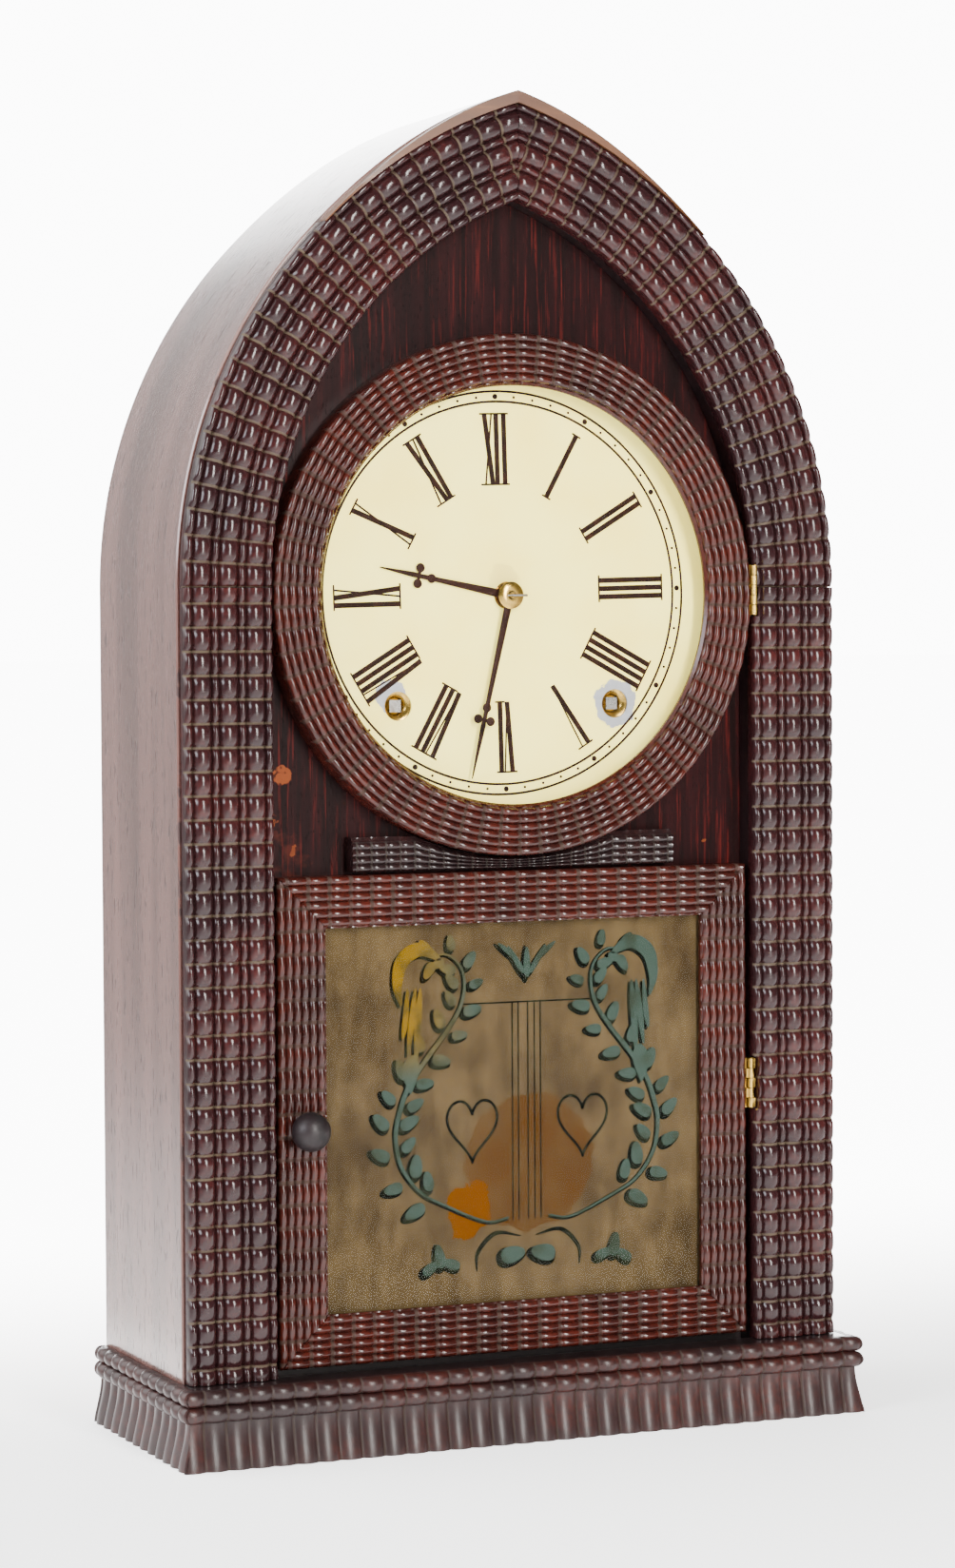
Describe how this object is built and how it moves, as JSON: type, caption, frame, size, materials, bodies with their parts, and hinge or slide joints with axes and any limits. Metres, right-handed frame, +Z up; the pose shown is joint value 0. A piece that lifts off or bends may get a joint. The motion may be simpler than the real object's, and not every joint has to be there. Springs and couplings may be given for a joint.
{
  "type": "mantel clock",
  "caption": "Pointed-arch shelf clock in ripple-moulded wood, with a round glazed dial door, a painted-glass lower door and a spring-driven striking movement.",
  "frame": {"origin": "middle of the bottom of the bounding box, on the surface the clock stands on", "axes": "+Z up, the dial faces -Y, +X is to the right as seen from the front"},
  "size_m": [0.2686, 0.1046, 0.483],
  "materials": {
    "moulding": "aged glossy shellac over rippled rosewood-coloured moulding, dust in the valleys",
    "door_moulding": "aged shellac over fine ripple moulding, redder where worn",
    "mahogany": "glossy shellacked mahogany veneer",
    "rosewood": "dark vertical-grain rosewood veneer, semi-gloss",
    "pine": "plain aged softwood, unfinished",
    "glass": "thin clear old glass",
    "tablet": "back-painted glass, olive gold with a stencilled wreath",
    "dial": "cream painted zinc with black numerals, worn at the winding holes",
    "hand_steel": "browned steel",
    "steel": "bright steel, slightly tarnished",
    "spring_steel": "blued and oiled spring steel",
    "brass": "aged brass, lightly tarnished",
    "knob": "dark brown turned knob, dull polish"
  },
  "bodies": {
    "case": {"case_side_left": "mahogany", "case_side_right": "mahogany", "face_frame_left": "pine", "face_frame_right": "pine", "front_moulding_left": "moulding", "front_moulding_right": "moulding", "arch_moulding_left": "moulding", "arch_moulding_right": "moulding", "backboard": "pine", "bottom_board": "pine", "front_panel": "rosewood", "base_moulding_front": "moulding", "base_moulding_left": "moulding", "base_moulding_right": "moulding", "base_rail": "pine", "dial_rail": "moulding", "bezel_hinge_case_leaf": "brass", "door_hinge_case_leaf": "brass", "dial_plate": "dial", "movement_front_plate": "brass", "movement_back_plate": "brass", "seat_board": "pine", "time_mainspring": "spring_steel", "strike_mainspring": "spring_steel", "gong_coil": "spring_steel", "gong_block": "pine"},
    "dial_door": {"bezel_ring": "door_moulding", "bezel_glass": "glass", "bezel_hinge_door_leaf": "brass"},
    "tablet_door": {"door_rail_top": "door_moulding", "door_rail_bottom": "door_moulding", "door_stile_left": "door_moulding", "door_stile_right": "door_moulding", "tablet_glass": "tablet", "door_hinge_door_leaf": "brass"},
    "latch_knob": {"door_knob": "knob", "knob_latch": "steel"},
    "minute_work": {"minute_hand": "hand_steel", "hand_washer": "brass"},
    "hour_work": {"hour_hand": "hand_steel", "hour_wheel": "brass"},
    "motion_wheel": {"motion_wheel": "brass"},
    "time_great": {"time_great_wheel": "brass"},
    "time_second": {"time_second_wheel": "brass"},
    "centre_arbor": {"centre_wheel": "brass", "hand_pin": "steel"},
    "third_arbor": {"third_wheel": "brass"},
    "escape_arbor": {"escape_wheel": "brass"},
    "pendulum": {"pendulum_rod": "steel", "pendulum_bob": "brass"},
    "verge": {"verge": "steel"},
    "strike_great": {"strike_great_wheel": "brass"},
    "pin_arbor": {"strike_pin_wheel": "brass"},
    "warning_arbor": {"strike_warning_wheel": "brass"},
    "fly_arbor": {"strike_fly": "brass"},
    "count_wheel": {"count_wheel": "brass"},
    "time_winding": {"time_winding_arbor": "steel"},
    "strike_winding": {"strike_winding_arbor": "steel"},
    "hammer": {"strike_hammer": "spring_steel"}
  },
  "joints": [
    {"name": "dial_door_hinge", "type": "hinge", "parent": "case", "child": "dial_door", "pos_m": [0.0944, -0.0407, 0.307], "axis": [0, 0, 1], "range_deg": [0, 105]},
    {"name": "tablet_door_hinge", "type": "hinge", "parent": "case", "child": "tablet_door", "pos_m": [0.09375, -0.0383, 0.124], "axis": [0, 0, 1], "range_deg": [0, 105]},
    {"name": "latch_turn", "type": "hinge", "parent": "tablet_door", "child": "latch_knob", "pos_m": [-0.0835, -0.0367, 0.116], "axis": [0, -1, 0], "range_deg": [0, 90]},
    {"name": "minute_hand_turn", "type": "hinge", "parent": "case", "child": "minute_work", "pos_m": [0, -0.0307, 0.3052], "axis": [0, 1, 0], "continuous": true},
    {"name": "hour_hand_turn", "type": "hinge", "parent": "case", "child": "hour_work", "pos_m": [0, -0.0287, 0.3052], "axis": [0, 1, 0], "continuous": true},
    {"name": "motion_wheel_turn", "type": "hinge", "parent": "case", "child": "motion_wheel", "pos_m": [0.0072, -0.0197, 0.29273], "axis": [0, 1, 0], "continuous": true},
    {"name": "third_wheel_turn", "type": "hinge", "parent": "case", "child": "third_arbor", "pos_m": [0.00992, 0.0023, 0.32171], "axis": [0, 1, 0], "continuous": true},
    {"name": "centre_wheel_turn", "type": "hinge", "parent": "case", "child": "centre_arbor", "pos_m": [0, 0.0023, 0.3052], "axis": [0, 1, 0], "continuous": true},
    {"name": "time_second_turn", "type": "hinge", "parent": "case", "child": "time_second", "pos_m": [0.01469, 0.0023, 0.2836], "axis": [0, 1, 0], "continuous": true},
    {"name": "time_great_turn", "type": "hinge", "parent": "case", "child": "time_great", "pos_m": [0.043, 0.0023, 0.2655], "axis": [0, 1, 0], "continuous": true},
    {"name": "escape_wheel_turn", "type": "hinge", "parent": "case", "child": "escape_arbor", "pos_m": [0, 0.0023, 0.33452], "axis": [0, 1, 0], "continuous": true},
    {"name": "pendulum_swing", "type": "hinge", "parent": "case", "child": "pendulum", "pos_m": [0, 0.0283, 0.35452], "axis": [0, 1, 0], "range_deg": [-4, 4]},
    {"name": "verge_rock", "type": "hinge", "parent": "case", "child": "verge", "pos_m": [0, 0.0023, 0.35452], "axis": [0, 1, 0], "range_deg": [-4, 4]},
    {"name": "warning_wheel_turn", "type": "hinge", "parent": "case", "child": "warning_arbor", "pos_m": [-0.03801, 0.0023, 0.31429], "axis": [0, 1, 0], "continuous": true},
    {"name": "pin_wheel_turn", "type": "hinge", "parent": "case", "child": "pin_arbor", "pos_m": [-0.05204, 0.0023, 0.29786], "axis": [0, 1, 0], "continuous": true},
    {"name": "strike_great_turn", "type": "hinge", "parent": "case", "child": "strike_great", "pos_m": [-0.043, 0.0023, 0.2655], "axis": [0, 1, 0], "continuous": true},
    {"name": "count_wheel_turn", "type": "hinge", "parent": "case", "child": "count_wheel", "pos_m": [-0.043, 0.0023, 0.2655], "axis": [0, 1, 0], "continuous": true},
    {"name": "fly_turn", "type": "hinge", "parent": "case", "child": "fly_arbor", "pos_m": [-0.03001, 0.0023, 0.32837], "axis": [0, 1, 0], "continuous": true},
    {"name": "time_winding_turn", "type": "hinge", "parent": "case", "child": "time_winding", "pos_m": [0.043, 0.0023, 0.2655], "axis": [0, 1, 0], "continuous": true},
    {"name": "strike_winding_turn", "type": "hinge", "parent": "case", "child": "strike_winding", "pos_m": [-0.043, 0.0023, 0.2655], "axis": [0, 1, 0], "continuous": true},
    {"name": "hammer_swing", "type": "hinge", "parent": "case", "child": "hammer", "pos_m": [-0.066, 0.0023, 0.24], "axis": [0, 1, 0], "range_deg": [0, 12]}
  ],
  "couplings": [
    {"joint": "hour_hand_turn", "follows": "minute_hand_turn", "ratio": 0.083333},
    {"joint": "motion_wheel_turn", "follows": "minute_hand_turn", "ratio": -0.33333},
    {"joint": "centre_wheel_turn", "follows": "third_wheel_turn", "ratio": -0.2},
    {"joint": "time_second_turn", "follows": "third_wheel_turn", "ratio": 0.04},
    {"joint": "time_great_turn", "follows": "third_wheel_turn", "ratio": -0.0066667},
    {"joint": "escape_wheel_turn", "follows": "third_wheel_turn", "ratio": -5},
    {"joint": "verge_rock", "follows": "pendulum_swing", "ratio": 1},
    {"joint": "pin_wheel_turn", "follows": "warning_wheel_turn", "ratio": -0.2},
    {"joint": "strike_great_turn", "follows": "warning_wheel_turn", "ratio": 0.033333},
    {"joint": "count_wheel_turn", "follows": "warning_wheel_turn", "ratio": 0.0033333},
    {"joint": "fly_turn", "follows": "warning_wheel_turn", "ratio": -5}
  ]
}
